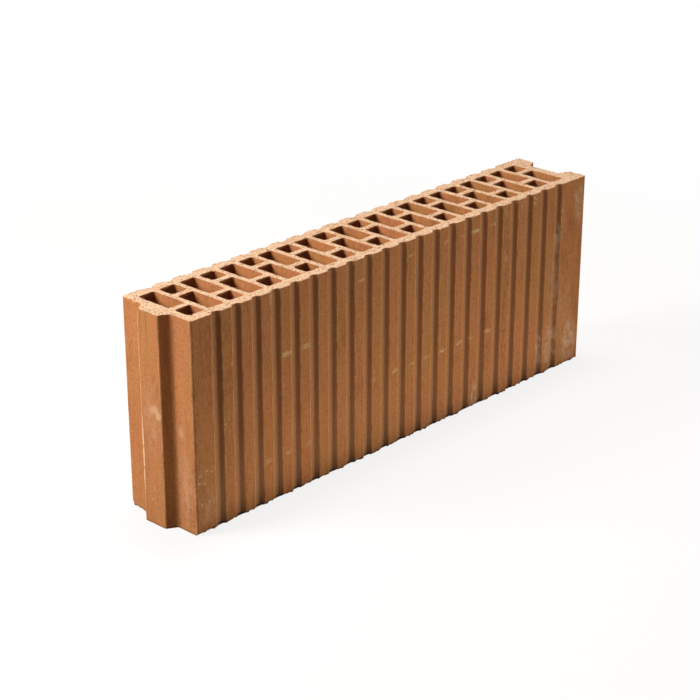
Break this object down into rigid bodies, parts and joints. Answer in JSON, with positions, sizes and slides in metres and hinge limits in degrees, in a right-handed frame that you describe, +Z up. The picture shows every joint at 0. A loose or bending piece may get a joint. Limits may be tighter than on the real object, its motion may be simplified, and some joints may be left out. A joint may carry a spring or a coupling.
{
  "type": "hollow clay block",
  "caption": "Long thin hollow clay partition block with staggered upright cells, ribbed plaster faces, a tongue on one end and a matching slot on the other.",
  "frame": {"origin": "middle of the block's box on its lower bed face", "axes": "+X along the block from the tongue to the slot, +Y through its thickness from the front face to the back, +Z up along the cells"},
  "size_m": [0.507, 0.08, 0.184],
  "materials": {
    "fired_clay": "matt unglazed fired clay, wire-cut on the bed faces"
  },
  "bodies": {
    "root": {"hollow_clay_block": "fired_clay"}
  },
  "joints": []
}
